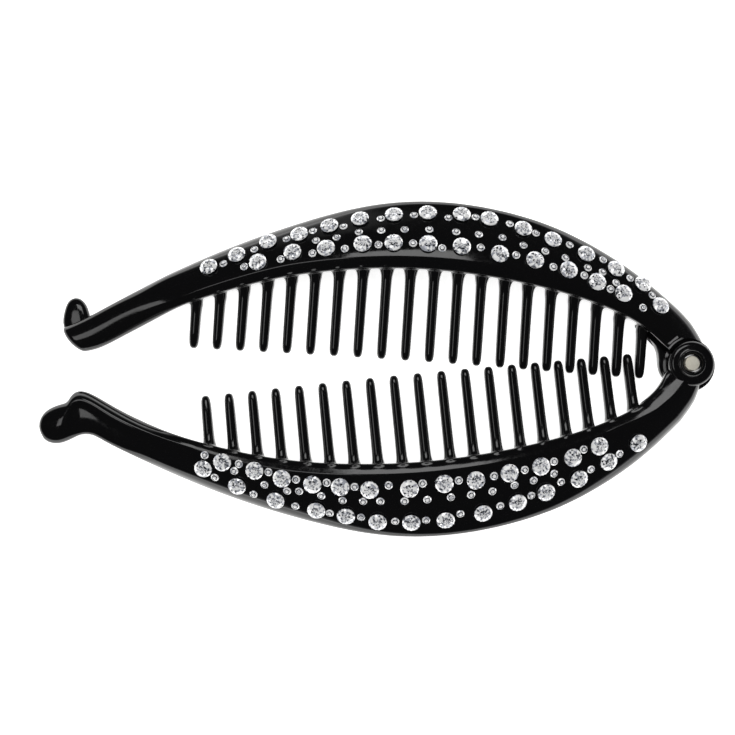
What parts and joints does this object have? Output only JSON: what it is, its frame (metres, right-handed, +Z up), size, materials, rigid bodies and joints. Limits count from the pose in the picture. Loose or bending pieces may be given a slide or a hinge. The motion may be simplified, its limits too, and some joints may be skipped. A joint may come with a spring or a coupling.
{
  "type": "banana hair clip",
  "caption": "Long two-armed hair clip of glossy black plastic with interlocking combs, a pin hinge at one end, overlapping tails at the other and clear stones along both bands.",
  "frame": {"origin": "bottom centre of the clip's box as it lies on its inner side, slightly open", "axes": "+X from the tails to the hinge, +Y from the lower arm to the upper arm, +Z up, along the hinge pin"},
  "size_m": [0.151, 0.0736, 0.0136],
  "materials": {
    "black_plastic": "polished black moulding",
    "crystal": "cut clear stone, silvered behind",
    "pin_metal": "satin pin end"
  },
  "bodies": {
    "upper": {"upper_arm": "black_plastic", "hinge_pin": "pin_metal", "upper_stone_01": "crystal", "upper_stone_02": "crystal", "upper_stone_03": "crystal", "upper_stone_04": "crystal", "upper_stone_05": "crystal", "upper_stone_06": "crystal", "upper_stone_07": "crystal", "upper_stone_08": "crystal", "upper_stone_09": "crystal", "upper_stone_10": "crystal", "upper_stone_11": "crystal", "upper_stone_12": "crystal", "upper_stone_13": "crystal", "upper_stone_14": "crystal", "upper_stone_15": "crystal", "upper_stone_16": "crystal", "upper_stone_17": "crystal", "upper_stone_18": "crystal", "upper_stone_19": "crystal", "upper_stone_20": "crystal", "upper_stone_21": "crystal", "upper_stone_22": "crystal", "upper_stone_23": "crystal", "upper_stone_24": "crystal", "upper_stone_25": "crystal", "upper_stone_26": "crystal", "upper_stone_27": "crystal", "upper_stone_28": "crystal"},
    "lower": {"lower_arm": "black_plastic", "lower_stone_01": "crystal", "lower_stone_02": "crystal", "lower_stone_03": "crystal", "lower_stone_04": "crystal", "lower_stone_05": "crystal", "lower_stone_06": "crystal", "lower_stone_07": "crystal", "lower_stone_08": "crystal", "lower_stone_09": "crystal", "lower_stone_10": "crystal", "lower_stone_11": "crystal", "lower_stone_12": "crystal", "lower_stone_13": "crystal", "lower_stone_14": "crystal", "lower_stone_15": "crystal", "lower_stone_16": "crystal", "lower_stone_17": "crystal", "lower_stone_18": "crystal", "lower_stone_19": "crystal", "lower_stone_20": "crystal", "lower_stone_21": "crystal", "lower_stone_22": "crystal", "lower_stone_23": "crystal", "lower_stone_24": "crystal", "lower_stone_25": "crystal", "lower_stone_26": "crystal", "lower_stone_27": "crystal"}
  },
  "joints": [
    {"name": "arm_hinge", "type": "hinge", "parent": "upper", "child": "lower", "pos_m": [0.0695, 0, 0.0035], "axis": [0, 0, 1], "range_deg": [-9, 70]}
  ]
}
